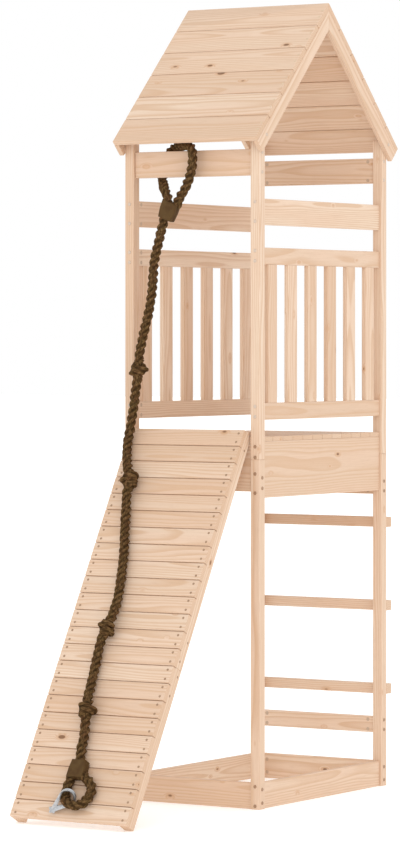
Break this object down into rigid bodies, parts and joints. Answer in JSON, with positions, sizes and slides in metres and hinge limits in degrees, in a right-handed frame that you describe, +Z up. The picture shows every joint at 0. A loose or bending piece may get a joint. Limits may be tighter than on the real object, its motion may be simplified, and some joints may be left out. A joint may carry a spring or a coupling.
{
  "type": "wooden climbing frame",
  "caption": "Child's wooden climbing tower with a gabled roof, slatted side panels, a leaning slatted ramp, back rungs and a knotted climbing rope.",
  "frame": {"origin": "on the ground, under the middle of the box round tower and ramp", "axes": "+Z up, +X to the right seen from the ramp, -Y towards the ramp's foot"},
  "size_m": [0.4572, 1.3275, 2.161],
  "materials": {
    "pine": "planed, untreated",
    "rope": "three-strand twisted",
    "clamp": "moulded, matt",
    "dark_steel": "bronzed",
    "yellow_zinc": "yellow zinc plated",
    "galvanised": "galvanised"
  },
  "bodies": {
    "frame": {"post_lower_front_left": "pine", "post_lower_front_right": "pine", "post_lower_back_left": "pine", "post_lower_back_right": "pine", "post_upper_front_left": "pine", "post_upper_front_right": "pine", "post_upper_back_left": "pine", "post_upper_back_right": "pine", "base_board_front": "pine", "base_board_back": "pine", "base_board_left": "pine", "base_board_right": "pine", "platform_board_front": "pine", "platform_rail_back": "pine", "platform_board_left": "pine", "platform_board_right": "pine", "floor_boards": "pine", "low_rail_back": "pine", "rung_low": "pine", "rung_middle": "pine", "rung_top": "pine", "panel_low_rail_left": "pine", "panel_low_rail_right": "pine", "panel_top_rail_left": "pine", "panel_top_rail_right": "pine", "panel_slats_left": "pine", "panel_slats_right": "pine", "middle_board_left": "pine", "middle_board_right": "pine", "top_beam_front": "pine", "top_beam_back": "pine", "rafter_front_left": "pine", "rafter_front_right": "pine", "rafter_back_left": "pine", "rafter_back_right": "pine", "roof_boards_front": "pine", "roof_boards_back": "pine", "ramp_stringer_upper_left": "pine", "ramp_stringer_upper_right": "pine", "ramp_stringer_lower_left": "pine", "ramp_stringer_lower_right": "pine", "ramp_splice_left": "pine", "ramp_splice_right": "pine", "ramp_top_batten": "pine", "ramp_slats": "pine", "frame_bolts": "dark_steel", "barrel_nuts": "dark_steel", "ramp_screws": "dark_steel", "roof_screws": "yellow_zinc", "floor_screws": "yellow_zinc"},
    "rope": {"rope_line": "rope", "rope_eye_top": "rope", "rope_eye_low": "rope", "rope_knots": "rope", "rope_clamp_top": "clamp", "rope_clamp_low": "clamp", "rope_thimble": "galvanised"}
  },
  "joints": [
    {"name": "rope_swing", "type": "hinge", "parent": "frame", "child": "rope", "pos_m": [0, -0.05156, 1.716], "axis": [-1, 0, 0], "range_deg": [0, 20]}
  ]
}
